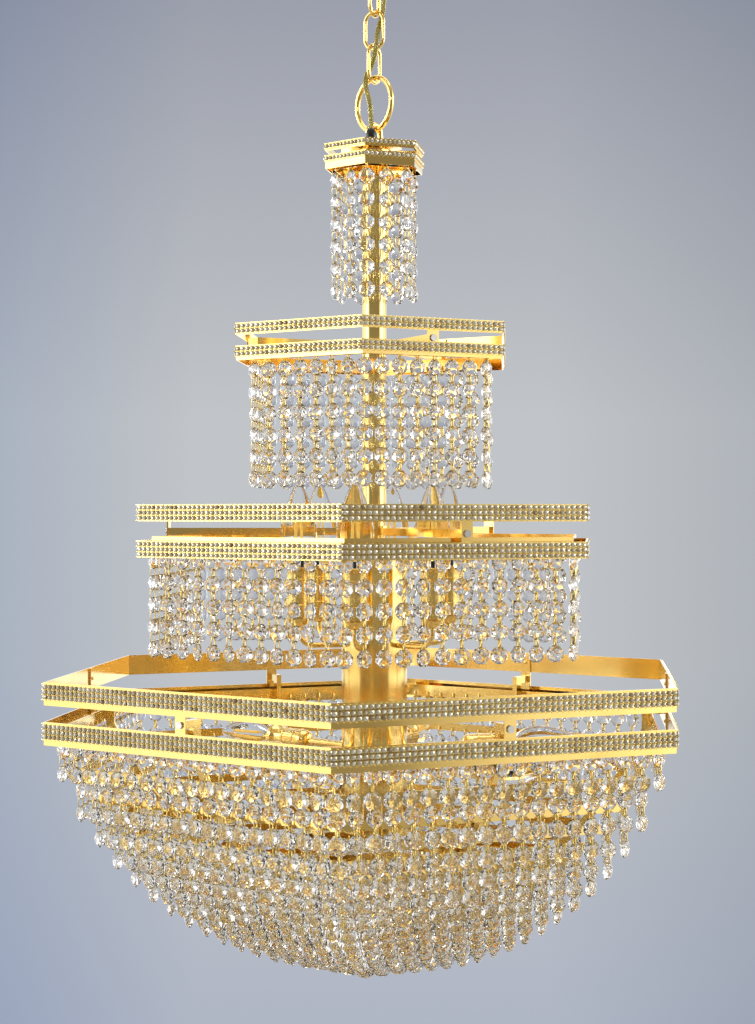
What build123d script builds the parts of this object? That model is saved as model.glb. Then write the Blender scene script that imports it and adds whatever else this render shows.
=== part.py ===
"""A crystal chandelier: four hexagonal tiers on one brass column, over a deep bowl of strands.

The origin is the middle of the ceiling plate's upper face, where it meets the ceiling, +Z is up, and
the front of the chandelier looks towards -Y. Every angle named turn or bearing is counted in degrees
from the front, positive towards +X. All lengths are millimetres.
"""
import os
from collections import namedtuple
from math import acos, cos, degrees, pi, radians, sin, sqrt, tan

from build123d import *

os.makedirs("parts", exist_ok=True)

# ---- Fits ----------------------------------------------------------------------------------------
play = 0.3                      # gap between pieces that move on or sit loosely in each other
solder_line = 0.2               # between two strips that meet at a corner
side_count = 6
half_corner = radians(180 / side_count)

# ---- Ceiling fitting -------------------------------------------------------------------------------
plate_width = 22.0
plate_thickness = 2.5
plate_hole_spacing = 80.0
plate_hole_radius = 2.5
hook_wire = 5.0
hook_inner_radius = 7.0
hook_lead = 60.0                # degrees of the bend that leads from the shank into the ring
hook_sweep = 270.0              # degrees that the ring of the hook goes round
hook_drop = 55.0                # ceiling to the seat of the top link
hook_nut_radius = 8.0
hook_nut_height = 5.0
block_length = 20.0
block_width = 12.0
block_height = 12.0
block_x = 20.0
block_y = 4.0
canopy_radius = 56.0
canopy_depth = 36.0
canopy_ceiling_gap = 1.0
canopy_wall = 1.2
canopy_shoulder = 20.0          # radius that rounds the side over into the underside
canopy_hole_radius = 18.0
canopy_lip_width = 2.0
canopy_lip_height = 1.5

# ---- Chain and ring --------------------------------------------------------------------------------
link_wire = 3.5
link_length = 39.0
link_width = 23.0
link_butt_gap = 0.8             # where the link's wire was bent shut
link_turns = (65.0, -30.0, 57.0)
link_names = ("chain_link_top", "chain_link_middle", "chain_link_lower")
hook_turn = -30.0
ring_wire = 5.0
ring_diameter = 55.0
ring_turn = -50.0

# ---- Crown hub, hanger and cord --------------------------------------------------------------------
eye_wire = 5.0
eye_inner_radius = 5.0
eye_foot = 11.5                 # how far the eye's legs run down from its middle
hub_radius = 26.0
hub_thickness = 4.0
spigot_length = 8.0             # how far a plate's spigot goes into its tube
gland_x = -3.0
gland_y = -17.0
gland_radius = 6.5
gland_height = 12.0
gland_shoulder = 3.0
cord_diameter = 5.0
cord_lead = 11.5                # straight stretch at each end of the cord

# ---- Column ----------------------------------------------------------------------------------------
upper_column_radius = 11.5
upper_column_wall = 1.2
lower_column_radius = 31.0
lower_column_wall = 1.5
lower_column_drop = 384.0       # hub top to the top of the wide tube
lower_column_length = 267.0
cap_thickness = 3.0
rod_radius = 5.0
rod_boss_wall = 4.0
collar_wall = 4.0
collar_height = 9.0

# ---- Crystal and stone trim ------------------------------------------------------------------------
bead_radius = 7.7
bead_thickness = 8.0
bead_link = 2.0                 # width of the square link between two beads
strand_width = 9.0              # a plain strand's width, the mean of its beads and links
strand_depth = 6.0
rail_height = 12.0
rail_thickness = 1.0
hook_to_bead = 22.0             # top of a rail to the middle of the first bead
row_pitch = 4.7
row_height = 4.2
row_depth = 2.2
row_margin = 0.3                # band's top edge to the first row of stones
band_thickness = 1.2

# ---- Straps, spokes and screws -----------------------------------------------------------------------
strap_width = 11.0
strap_thickness = 1.5
strap_margin = 0.5              # how far a strap stops short of the bands' edges
spoke_width = 6.0
spoke_height = 7.0
screw_radius = 1.2
screw_head_radius = 3.2
screw_head_height = 1.8
screw_slot = 0.8
screw_depth = 6.0

# ---- Tiers ------------------------------------------------------------------------------------------
# corner: band's corner radius. turn: bearing of the front corner. upper, lower: hub top to the top of
# each band, with its height. rows: rows of stones. strand_corner: corner radius of the strands.
# strands: strands on each side. beads, pitch: beads on a strand and their spacing. bead: hub top to
# the middle of the first bead. straps: bearings of the straps, counted from the front corner.
Tier = namedtuple("Tier", "name corner turn upper upper_height lower lower_height rows strand_corner "
                          "strands beads pitch bead straps")
strand_spacing = 16.8           # spacing of the strands on the bowl's hexagonal rings
ring_count = 18                 # rings of strands from the lowest tier to the middle
crown = Tier("crown", 49.0, -10.0, 2.3, 6.6, 13.7, 11.9, 1, 39.9, 2, 6, 21.0, 36.0, (-30, 90, 210))
tier_2 = Tier("tier_2", 141.0, -4.0, 175.6, 10.5, 196.6, 12.6, 2, 123.5, 7, 6, 20.0, 218.4,
              (30, 150, 270))
tier_3 = Tier("tier_3", 232.0, -6.5, 342.1, 14.7, 374.9, 14.1, 3, 218.5, 12, 5, 20.0, 392.7,
              (30, 150, 270))
tier_4 = Tier("tier_4", 319.0, -6.0, 498.7, 20.4, 533.8, 20.5, 3, ring_count * strand_spacing,
              ring_count, 2, 20.0, 560.4, (30, 90, 150, 210, 270, 330))
tiers = (crown, tier_2, tier_3, tier_4)
spoked_tiers = (crown, tier_2, tier_3)
beaded_tiers = (crown, tier_2)  # their strands are cut bead by bead, the others' are plain

# ---- Bowl -------------------------------------------------------------------------------------------
bowl_radius = 338.0             # sphere through the hoops, and through the strands' lower ends
bowl_step = 8.1                 # top of the lowest rail to the sphere of the hoops, at the rail's corner
bowl_beads = 2
bowl_pitch = 20.0
hoop_height = 8.0
hoop_thickness = 1.0
hoop_to_bead = 20.3             # top of a hoop to the middle of its strands' first bead
curtain_depth = 6.0
rib_width = 5.0
rib_height = 7.0
bowl_hub_radius = 12.0
bowl_hub_height = 14.0
nut_radius = 10.0
nut_height = 7.0
nut_thread_depth = 4.0

# ---- Lights -----------------------------------------------------------------------------------------
light_count = 6
light_turn = -13.5
upper_arm_radius = 2.5
lower_arm_radius = 4.0
upper_light_reach = 74.0        # column axis to the axis of an upper light
upper_arm_drop = 474.0          # hub top to the upper arms where they leave the column
upper_arm_bend = 15.0
upper_cup_drop = 456.0          # hub top to the foot of an upper cup
upper_cup_length = 56.0
upper_cup_rim_radius = 12.5
upper_cup_rim_length = 2.5
lower_light_drop = 573.7        # hub top to the axis of the lower lights
lower_cup_reach = 87.0          # column axis to the foot of a lower cup
lower_cup_length = 48.0
lower_cup_rim_radius = 15.0
lower_cup_rim_length = 12.0
cup_radius = 11.0
cup_wall = 1.0
cup_foot_radius = 5.0
cup_foot_length = 8.0           # the rounded foot, solid up to the socket's seat
socket_radius = 9.4
socket_stand_out = 6.0          # black sleeve that shows past the cup
bulb_cap_radius = 7.0
bulb_cap_length = 20.0
bulb_radius = 17.5
bulb_length = 74.0
bulb_neck_radius = 8.6
bulb_widest = 26.0              # socket to the bulb's widest place
bulb_shoulder_radius = 9.0
bulb_shoulder = 60.0            # socket to the place where the bulb narrows to its tip

# ---- Heights and reaches worked out from these --------------------------------------------------------
plate_length = 2 * (canopy_radius - canopy_wall - play)
link_pitch = link_length - 2 * link_wire - play
link_seats = [-hook_drop + play - n * link_pitch for n in range(len(link_names))]
ring_seat = link_seats[-1] - link_pitch
ring_radius = (ring_diameter - ring_wire) / 2
ring_middle = ring_seat + ring_wire / 2 - ring_radius
eye_seat = ring_middle - ring_radius + ring_wire / 2 + play
eye_radius = eye_inner_radius + eye_wire / 2
eye_middle = eye_seat - eye_inner_radius
hub_top = eye_middle - eye_foot
upper_column_top = hub_top - hub_thickness
lower_column_top = hub_top - lower_column_drop
lower_column_bottom = lower_column_top - lower_column_length
hoop_drop = hoop_to_bead + (bowl_beads - 1) * bowl_pitch + bead_radius
bowl_edge = hub_top - tier_4.bead + hook_to_bead - bowl_step
bowl_hub_bottom = bowl_edge - bowl_radius + sqrt(bowl_radius ** 2 - tier_4.strand_corner ** 2)
block_bottom = -plate_thickness - block_height
cord_route = [
    (gland_x, gland_y, hub_top + gland_height),
    (gland_x, gland_y, hub_top + gland_height + cord_lead),
    (-4.5, -13.5, -172.0),
    (-8.5, -7.0, -158.0),
    (-8.5, -1.2, -146.5),
    (-1.5, -2.5, -134.5),
    (2.0, -9.3, -120.5),
    (3.0, -4.0, -103.5),
    (7.8, 4.0, -88.0),
    (9.5, 2.5, -70.0),
    (12.0, 5.5, -53.0),
    (12.3, 6.0, -38.0),
    (block_x, block_y, block_bottom - cord_lead),
    (block_x, block_y, block_bottom),
]


def bearing(angle, radius, height=0.0):
    """The point at a bearing from the front, at a radius from the column's axis."""
    return Vector(radius * sin(radians(angle)), -radius * cos(radians(angle)), height)


def upright_plane(angle, height=0.0):
    """An upright plane through the column's axis, at an angle from the picture's plane."""
    across = Vector(cos(radians(angle)), sin(radians(angle)), 0)
    return Plane(origin=(0, 0, height), x_dir=across, z_dir=(across.Y, -across.X, 0))


def facing_plane(angle, radius, height):
    """A plane that faces outwards along a bearing."""
    return Plane(origin=bearing(angle, radius, height), x_dir=bearing(angle + 90, 1),
                 z_dir=bearing(angle, 1))


def upper_light_plane(angle, drop):
    """The plane of an upper light: its y axis is the light's own axis, and points up."""
    return Plane(origin=bearing(angle, upper_light_reach, hub_top - drop), x_dir=bearing(angle, 1),
                 z_dir=bearing(angle - 90, 1))


def lower_light_plane(angle, reach):
    """The plane of a lower light: its y axis is the light's own axis, and points outwards."""
    return Plane(origin=bearing(angle, reach, hub_top - lower_light_drop), x_dir=(0, 0, 1),
                 z_dir=bearing(angle + 90, 1))


def apothem(corner):
    """Distance from the axis to the middle of a hexagon's side."""
    return corner * cos(half_corner)


def light_bearings():
    """The bearings of the six lights of one set."""
    return [light_turn + n * 360 / light_count for n in range(light_count)]


def strap_bearings(tier):
    """The bearings of a tier's straps, which stand in the middle of its sides."""
    return [tier.turn + offset for offset in tier.straps]


def strap_reach(tier):
    """Column axis to the inner face of a tier's straps."""
    return apothem(tier.corner) - band_thickness - strap_thickness


def rail_top(tier):
    """Height of the top of the rail that carries a tier's strands."""
    return hub_top - tier.bead + hook_to_bead


def fixing_height(tier):
    """Height of the screws that join a tier's straps to its spokes or ribs."""
    if tier in spoked_tiers:
        return rail_top(tier) + spoke_height / 2
    return hub_top - (tier.upper + tier.upper_height + tier.lower) / 2


def hoop_top(corner):
    """Height of the top of the bowl's hoop that has this corner radius."""
    return bowl_hub_bottom + bowl_radius - sqrt(bowl_radius ** 2 - corner ** 2)


def side_strips(corner, thickness, turn):
    """Sketch six strips, mitred at the corners, that together make a hexagonal ring."""
    inner = corner - thickness / cos(half_corner)
    for side in range(side_count):
        middle = turn + (side + 0.5) * 360 / side_count
        out, along = bearing(middle, 1), bearing(middle + 90, 1)
        half_outer = corner * sin(half_corner) - solder_line / 2
        half_inner = inner * sin(half_corner) - solder_line / 2
        corners = [
            out * apothem(corner) + along * half_outer,
            out * apothem(corner) - along * half_outer,
            out * apothem(inner) - along * half_inner,
            out * apothem(inner) + along * half_inner,
        ]
        with BuildLine() as outline:
            Polyline(*[(point.X, point.Y) for point in corners], close=True)
        make_face(outline.edges())


def strand_spots(corner, count, turn):
    """The places of the strands on a hexagonal ring: one on each corner, the rest between them."""
    spots = []
    for side in range(side_count):
        start = bearing(turn + side * 360 / side_count, corner)
        end = bearing(turn + (side + 1) * 360 / side_count, corner)
        for step in range(count):
            place = start + (end - start) * (step / count)
            facing = turn + (side + (0.5 if step else 0)) * 360 / side_count
            spots.append(Location((place.X, place.Y, 0), (0, 0, facing)))
    return spots


def corner_radii(route):
    """The largest arcs that the runs of a route allow, one for each of its corners."""
    radii = []
    for before, corner, after in zip(route, route[1:], route[2:]):
        run_in = Vector(*corner) - Vector(*before)
        run_out = Vector(*after) - Vector(*corner)
        half_turn = radians(run_in.get_angle(run_out)) / 2
        radii.append(0.45 * min(run_in.length, run_out.length) / tan(half_turn))
    return radii


def save(builder, name):
    """Label a finished piece and write it."""
    builder.part.label = name
    export_step(builder.part, f"parts/{name}.step")


# ==== Ceiling fitting ===================================================================================
hook_middle = -hook_drop + hook_inner_radius
hook_radius = hook_inner_radius + hook_wire / 2
hook_neck = hook_middle + 2 * hook_radius * sin(radians(hook_lead))
with BuildPart() as ceiling_plate:
    with BuildSketch(Plane.XY.offset(-plate_thickness)):
        SlotOverall(plate_length, plate_width)
        with Locations((-plate_hole_spacing / 2, 0), (plate_hole_spacing / 2, 0)):
            Circle(plate_hole_radius, mode=Mode.SUBTRACT)
        Circle(hook_wire / 2 + play, mode=Mode.SUBTRACT)
    extrude(amount=plate_thickness)
save(ceiling_plate, "ceiling_plate")

with BuildPart() as ceiling_hook:
    with BuildLine(upright_plane(hook_turn)) as hook_path:
        Line((0, 0), (0, hook_neck))
        CenterArc((hook_radius, hook_neck), hook_radius, 180, hook_lead)
        CenterArc((0, hook_middle), hook_radius, hook_lead, -hook_sweep)
    with BuildSketch(Plane.XY):
        Circle(hook_wire / 2)
    sweep(path=hook_path.wires()[0], transition=Transition.ROUND)
    with BuildSketch(Plane.XY.offset(-plate_thickness - hook_nut_height)):
        RegularPolygon(hook_nut_radius, side_count)
    extrude(amount=hook_nut_height)
save(ceiling_hook, "ceiling_hook")

with BuildPart() as terminal_block:
    with BuildSketch(Plane.XY.offset(-plate_thickness)):
        with Locations((block_x, block_y)):
            Rectangle(block_length, block_width)
    extrude(amount=-block_height)
    chamfer(terminal_block.edges().filter_by(Axis.Z), 1.5)
save(terminal_block, "terminal_block")

canopy_top = -canopy_ceiling_gap
canopy_bottom = canopy_top - canopy_depth
with BuildPart() as ceiling_canopy:
    with BuildSketch(Plane.XY.offset(canopy_top)):
        Circle(canopy_radius)
    extrude(amount=-canopy_depth)
    fillet(ceiling_canopy.edges().sort_by(Axis.Z)[0], canopy_shoulder)
    offset(amount=-canopy_wall, openings=ceiling_canopy.faces().sort_by(Axis.Z)[-1])
    with BuildSketch(Plane.XY.offset(canopy_bottom)):
        Circle(canopy_hole_radius + canopy_lip_width)
    extrude(amount=-canopy_lip_height)
    with BuildSketch(Plane.XY.offset(canopy_bottom - canopy_lip_height)):
        Circle(canopy_hole_radius)
    extrude(amount=canopy_lip_height + 2 * canopy_wall, mode=Mode.SUBTRACT)
save(ceiling_canopy, "ceiling_canopy")

# ==== Chain, ring and hanger ============================================================================
link_bow = (link_width - link_wire) / 2
link_straight = (link_length - link_width) / 2
for name, turn, seat in zip(link_names, link_turns, link_seats):
    with BuildPart() as link:
        with BuildLine(upright_plane(turn, seat + link_wire - link_length / 2)) as link_path:
            Line((link_bow, link_butt_gap / 2), (link_bow, link_straight))
            CenterArc((0, link_straight), link_bow, 0, 180)
            Line((-link_bow, link_straight), (-link_bow, -link_straight))
            CenterArc((0, -link_straight), link_bow, 180, 180)
            Line((link_bow, -link_straight), (link_bow, -link_butt_gap / 2))
        wire = link_path.wires()[0]
        with BuildSketch(Plane(origin=wire @ 0, z_dir=wire % 0)):
            Circle(link_wire / 2)
        sweep(path=wire)
    save(link, name)

with BuildPart(upright_plane(ring_turn, ring_middle)) as suspension_ring:
    Torus(ring_radius, ring_wire / 2)
save(suspension_ring, "suspension_ring")

with BuildPart() as hanger_eye:
    with BuildLine(upright_plane(ring_turn + 90, eye_middle)) as eye_path:
        Line((eye_radius, hub_top - eye_middle), (eye_radius, 0))
        CenterArc((0, 0), eye_radius, 0, 180)
        Line((-eye_radius, 0), (-eye_radius, hub_top - eye_middle))
    legs = eye_path.wires()[0]
    with BuildSketch(Plane(origin=legs @ 0, z_dir=legs % 0)):
        Circle(eye_wire / 2)
    sweep(path=legs)
save(hanger_eye, "hanger_eye")

# ==== Cord ==============================================================================================
with BuildPart() as cord_gland:
    with BuildSketch(Plane.XY.offset(hub_top)):
        with Locations((gland_x, gland_y)):
            Circle(gland_radius)
    extrude(amount=gland_height)
    fillet(cord_gland.edges().sort_by(Axis.Z)[-1], gland_shoulder)
save(cord_gland, "cord_gland")

route_radii = corner_radii(cord_route)
with BuildPart() as supply_cord:
    with BuildLine() as cord_path:
        FilletPolyline(*cord_route, radius=route_radii)
    cord_line = cord_path.wires()[0]
    with BuildSketch(Plane(origin=cord_line @ 0, z_dir=cord_line % 0)):
        Circle(cord_diameter / 2)
    sweep(path=cord_line)
save(supply_cord, "supply_cord")
print("cord radii:", [round(radius, 1) for radius in route_radii])
print("cord length:", round(cord_line.length, 1), "volume ratio:",
      round(supply_cord.part.volume / (cord_line.length * pi * cord_diameter ** 2 / 4), 4))

# ==== Column ============================================================================================
upper_bore = upper_column_radius - upper_column_wall
lower_bore = lower_column_radius - lower_column_wall
with BuildPart() as crown_hub:
    with BuildSketch(Plane.XY.offset(upper_column_top)):
        Circle(hub_radius)
    extrude(amount=hub_thickness)
    with BuildSketch(Plane.XY.offset(upper_column_top)):
        Circle(upper_bore - play)
    extrude(amount=-spigot_length)
save(crown_hub, "crown_hub")

with BuildPart() as upper_column:
    with BuildSketch(Plane.XY.offset(lower_column_top)):
        Circle(upper_column_radius)
        Circle(upper_bore, mode=Mode.SUBTRACT)
    extrude(amount=upper_column_top - lower_column_top)
save(upper_column, "upper_column")

with BuildPart() as column_cap:
    with BuildSketch(Plane.XY.offset(lower_column_top - cap_thickness)):
        Circle(lower_column_radius)
    extrude(amount=cap_thickness)
    with BuildSketch(Plane.XY.offset(lower_column_top)):
        Circle(upper_bore - play)
    extrude(amount=spigot_length)
    with BuildSketch(Plane.XY.offset(lower_column_top - cap_thickness)):
        Circle(lower_bore - play)
    extrude(amount=-spigot_length)
save(column_cap, "column_cap")

with BuildPart() as lower_column:
    with BuildSketch(Plane.XY.offset(lower_column_bottom + cap_thickness)):
        Circle(lower_column_radius)
        Circle(lower_bore, mode=Mode.SUBTRACT)
    extrude(amount=lower_column_length - 2 * cap_thickness)
save(lower_column, "lower_column")

with BuildPart() as column_base:
    with BuildSketch(Plane.XY.offset(lower_column_bottom)):
        Circle(lower_column_radius)
    extrude(amount=cap_thickness)
    with BuildSketch(Plane.XY.offset(lower_column_bottom + cap_thickness)):
        Circle(lower_bore - play)
    extrude(amount=spigot_length)
    with BuildSketch(Plane.XY.offset(lower_column_bottom)):
        Circle(rod_radius + rod_boss_wall)
    extrude(amount=-spigot_length)
    with BuildSketch(Plane.XY.offset(lower_column_bottom - spigot_length)):
        Circle(rod_radius + play)
    extrude(amount=2 * spigot_length, mode=Mode.SUBTRACT)
save(column_base, "column_base")

rod_top = lower_column_bottom + spigot_length
rod_bottom = bowl_hub_bottom - nut_thread_depth
with BuildPart() as centre_rod:
    with BuildSketch(Plane.XY.offset(rod_bottom)):
        Circle(rod_radius)
    extrude(amount=rod_top - rod_bottom)
save(centre_rod, "centre_rod")

with BuildPart() as bowl_hub:
    with BuildSketch(Plane.XY.offset(bowl_hub_bottom)):
        Circle(bowl_hub_radius)
        Circle(rod_radius + play, mode=Mode.SUBTRACT)
    extrude(amount=bowl_hub_height)
save(bowl_hub, "bowl_hub")

with BuildPart() as bowl_nut:
    with BuildSketch(Plane.XY.offset(bowl_hub_bottom - nut_height)):
        RegularPolygon(nut_radius, side_count)
    extrude(amount=nut_height)
    with BuildSketch(Plane.XY.offset(bowl_hub_bottom)):
        Circle(rod_radius + play)
    extrude(amount=-nut_thread_depth, mode=Mode.SUBTRACT)
save(bowl_nut, "bowl_nut")

# ==== Tiers =============================================================================================
def tier_bands(tier):
    """A tier's two bands: name, drop from the hub's top, and height."""
    return (("upper", tier.upper, tier.upper_height), ("lower", tier.lower, tier.lower_height))


def strand_length(tier):
    """The foot of a tier's rail to the lower edge of its last beads."""
    return hook_to_bead - rail_height + (tier.beads - 1) * tier.pitch + bead_radius


def strand_outline(tier, half_bead):
    """Sketch a strand upright on the column's axis: beads that taper both ways, on straight links."""
    edge = [(bead_link / 2, rail_top(tier) - rail_height)]
    for n in range(tier.beads):
        middle = rail_top(tier) - hook_to_bead - n * tier.pitch
        edge += [(bead_link / 2, middle + bead_radius), (half_bead, middle),
                 (bead_link / 2, middle - bead_radius)]
    with BuildLine() as outline:
        Polyline(*edge, *[(-across, height) for across, height in reversed(edge)], close=True)
    make_face(outline.edges())


def bead_strand(tier):
    """One strand, as what its front outline and its side outline have in common."""
    with BuildPart() as strand:
        with BuildSketch(Plane.XZ):
            strand_outline(tier, bead_radius)
        extrude(amount=bead_radius, both=True)
        with BuildSketch(Plane.YZ):
            strand_outline(tier, bead_thickness / 2)
        extrude(amount=bead_radius, both=True, mode=Mode.INTERSECT)
    return strand.part


for tier in tiers:
    for side, drop, height in tier_bands(tier):
        with BuildPart() as band:
            with BuildSketch(Plane.XY.offset(hub_top - drop)):
                side_strips(tier.corner, band_thickness, tier.turn)
            extrude(amount=-height)
        save(band, f"{tier.name}_{side}_band")

    spots = strand_spots(tier.strand_corner, tier.strands, tier.turn)
    if tier in beaded_tiers:
        strand = bead_strand(tier)
        with BuildPart() as strands:
            with Locations(*spots):
                add(strand)
    else:
        with BuildPart() as strands:
            with BuildSketch(Plane.XY.offset(rail_top(tier) - rail_height)):
                with Locations(*spots):
                    Rectangle(strand_width, strand_depth)
            extrude(amount=-strand_length(tier))
    save(strands, f"{tier.name}_strands")

with BuildPart() as band_stones:
    for tier in tiers:
        for side, drop, height in tier_bands(tier):
            for row in range(tier.rows):
                with BuildSketch(Plane.XY.offset(hub_top - drop - row_margin - row * row_pitch)):
                    side_strips(tier.corner + row_depth / cos(half_corner), row_depth, tier.turn)
                extrude(amount=-row_height)
save(band_stones, "band_stones")

with BuildPart() as band_straps:
    for tier in tiers:
        with BuildSketch(Plane.XY.offset(hub_top - tier.upper - strap_margin)):
            for angle in strap_bearings(tier):
                middle = bearing(angle, strap_reach(tier) + strap_thickness / 2)
                with Locations(Location(middle, (0, 0, angle))):
                    Rectangle(strap_width, strap_thickness)
        extrude(amount=tier.upper + 2 * strap_margin - tier.lower - tier.lower_height)
        if tier is not crown:
            for angle in strap_bearings(tier):
                with BuildSketch(facing_plane(angle, strap_reach(tier), fixing_height(tier))):
                    Circle(screw_radius + play)
                extrude(amount=strap_thickness, mode=Mode.SUBTRACT)
save(band_straps, "band_straps")

with BuildPart() as hook_rails:
    for tier in tiers:
        with BuildSketch(Plane.XY.offset(rail_top(tier))):
            outer_corner = tier.strand_corner + rail_thickness / 2 / cos(half_corner)
            side_strips(outer_corner, rail_thickness, tier.turn)
        extrude(amount=-rail_height)
save(hook_rails, "hook_rails")

for tier in spoked_tiers:
    with BuildPart() as spokes:
        with BuildSketch(Plane.XY.offset(rail_top(tier))):
            for angle in strap_bearings(tier):
                with Locations(Location(bearing(angle, strap_reach(tier) / 2), (0, 0, angle))):
                    Rectangle(spoke_width, strap_reach(tier))
        extrude(amount=spoke_height)
        with BuildSketch(Plane.XY.offset(rail_top(tier))):
            Circle(upper_column_radius + play + collar_wall)
        extrude(amount=collar_height)
        with BuildSketch(Plane.XY.offset(rail_top(tier))):
            Circle(upper_column_radius + play)
        extrude(amount=collar_height, mode=Mode.SUBTRACT)
        if tier is not crown:
            for angle in strap_bearings(tier):
                with BuildSketch(facing_plane(angle, strap_reach(tier), fixing_height(tier))):
                    Circle(screw_radius + play)
                extrude(amount=-screw_depth - play, mode=Mode.SUBTRACT)
    save(spokes, f"{tier.name}_spokes")

with BuildPart() as strap_screws:
    for tier in (tier_2, tier_3, tier_4):
        face = strap_reach(tier) + strap_thickness
        for angle in strap_bearings(tier):
            with BuildSketch(facing_plane(angle, face, fixing_height(tier))):
                Circle(screw_head_radius)
            extrude(amount=screw_head_height)
            with BuildSketch(facing_plane(angle, face + screw_head_height, fixing_height(tier))):
                Rectangle(2 * screw_head_radius, screw_slot)
            extrude(amount=-screw_slot, mode=Mode.SUBTRACT)
            with BuildSketch(facing_plane(angle, face, fixing_height(tier))):
                Circle(screw_radius)
            extrude(amount=-strap_thickness - screw_depth)
save(strap_screws, "strap_screws")

# ==== Bowl ==============================================================================================
rib_under = bowl_radius * cos(half_corner) - hoop_thickness / 2
rib_centre = bowl_hub_bottom + bowl_radius + play
rib_out = apothem(tier_4.strand_corner) - rail_thickness / 2 - play
rib_shoulder = apothem(tier_4.strand_corner) - strand_depth / 2 - play
rib_in = bowl_hub_radius + play
rail_foot = rail_top(tier_4) - rail_height
rib_reach = strap_reach(tier_4)


def rib_edge(half_width, half_height, end):
    """An edge of a rib: the stretch of an ellipse from the bowl's hub out to the rib's end."""
    start_angle = -degrees(acos(rib_in / half_width))
    end_angle = -degrees(acos(end / half_width))
    return EllipticalCenterArc((0, rib_centre), half_width, half_height, start_angle,
                               arc_size=end_angle - start_angle)


with BuildPart() as bowl_ribs:
    for angle in strap_bearings(tier_4):
        tab = fixing_height(tier_4)
        with BuildSketch(upright_plane(angle - 90)):
            with BuildLine():
                under = rib_edge(rib_under, bowl_radius, rib_shoulder)
                over = rib_edge(rib_under - rib_height, bowl_radius - rib_height,
                                rib_shoulder - rib_height)
                Polyline(under @ 1, (rib_shoulder, rail_foot), (rib_out, rail_foot + rib_height / 2),
                         (rib_out, tab - rib_height / 2), (rib_reach, tab - rib_height / 2),
                         (rib_reach, tab + rib_height / 2),
                         (rib_shoulder - rib_height, tab + rib_height / 2), over @ 1)
                Line(over @ 0, under @ 0)
            make_face()
        extrude(amount=rib_width / 2, both=True)
        with BuildSketch(facing_plane(angle, rib_reach, tab)):
            Circle(screw_radius + play)
        extrude(amount=-screw_depth - play, mode=Mode.SUBTRACT)
save(bowl_ribs, "bowl_ribs")

ring_corners = [n * strand_spacing for n in range(1, ring_count)]
with BuildPart() as bowl_hoops:
    for corner in ring_corners:
        with BuildSketch(Plane.XY.offset(hoop_top(corner))):
            side_strips(corner + hoop_thickness / 2 / cos(half_corner), hoop_thickness, tier_4.turn)
        extrude(amount=-hoop_height)
save(bowl_hoops, "bowl_hoops")

with BuildPart() as bowl_strands:
    for corner in ring_corners:
        with BuildSketch(Plane.XY.offset(hoop_top(corner) - hoop_height)):
            side_strips(corner + curtain_depth / 2 / cos(half_corner), curtain_depth, tier_4.turn)
        extrude(amount=hoop_height - hoop_drop)
    with BuildSketch(Plane.XY.offset(bowl_hub_bottom - nut_height)):
        Rectangle(strand_width, strand_depth)
    extrude(amount=nut_height - hoop_drop)
save(bowl_strands, "bowl_strands")

# ==== Lights ============================================================================================
arm_start = lower_column_radius + play


def cup_outline(length, rim_radius, rim_length):
    """Sketch the half section of a cup: its axis is y and its foot is at the origin."""
    with BuildLine() as outline:
        foot = Line((0, 0), (cup_foot_radius, 0))
        belly = RadiusArc(foot @ 1, (cup_radius, cup_foot_length), -cup_foot_length)
        Polyline(belly @ 1, (cup_radius, length - rim_length), (rim_radius, length - rim_length / 2),
                 (rim_radius, length), (cup_radius - cup_wall, length),
                 (cup_radius - cup_wall, cup_foot_length), (0, cup_foot_length), (0, 0))
    make_face(outline.edges())


def socket_outline(length):
    """Sketch the half section of a socket that stands on its cup's floor."""
    top = length + socket_stand_out
    bore = bulb_cap_radius + play
    with BuildLine() as outline:
        Polyline((0, cup_foot_length), (socket_radius, cup_foot_length), (socket_radius, top), (bore, top),
                 (bore, top - bulb_cap_length - play), (0, top - bulb_cap_length - play), close=True)
    make_face(outline.edges())


def bulb_outline(length):
    """Sketch the half section of a candle bulb, with its screw cap in the socket."""
    seat = length + socket_stand_out
    with BuildLine() as outline:
        cap = Polyline((0, seat + bulb_length), (0, seat - bulb_cap_length),
                       (bulb_cap_radius, seat - bulb_cap_length), (bulb_cap_radius, seat + play),
                       (bulb_neck_radius, seat + play))
        Spline(cap @ 1, (bulb_radius, seat + bulb_widest), (bulb_shoulder_radius, seat + bulb_shoulder),
               cap @ 0, tangents=((0.5, 1), (-1, 0)))
    make_face(outline.edges())


def light_axis(plane):
    """The axis of a light, as the turning axis of its round pieces."""
    return Axis(plane.origin, plane.y_dir)


upper_planes = [upper_light_plane(angle, upper_cup_drop) for angle in light_bearings()]
lower_planes = [lower_light_plane(angle, lower_cup_reach) for angle in light_bearings()]

with BuildPart() as upper_arms:
    for angle in light_bearings():
        with BuildLine(upright_plane(angle - 90, hub_top - upper_arm_drop)) as arm_path:
            FilletPolyline((arm_start, 0), (upper_light_reach, 0),
                           (upper_light_reach, upper_arm_drop - upper_cup_drop), radius=upper_arm_bend)
        arm_line = arm_path.wires()[0]
        with BuildSketch(Plane(origin=arm_line @ 0, z_dir=arm_line % 0)):
            Circle(upper_arm_radius)
        sweep(path=arm_line)
save(upper_arms, "upper_arms")

with BuildPart() as lower_arms:
    for angle in light_bearings():
        with BuildSketch(facing_plane(angle, arm_start, hub_top - lower_light_drop)):
            Circle(lower_arm_radius)
        extrude(amount=lower_cup_reach - arm_start)
save(lower_arms, "lower_arms")

with BuildPart() as upper_cups:
    for plane in upper_planes:
        with BuildSketch(plane):
            cup_outline(upper_cup_length, upper_cup_rim_radius, upper_cup_rim_length)
        revolve(axis=light_axis(plane))
save(upper_cups, "upper_cups")

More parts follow.
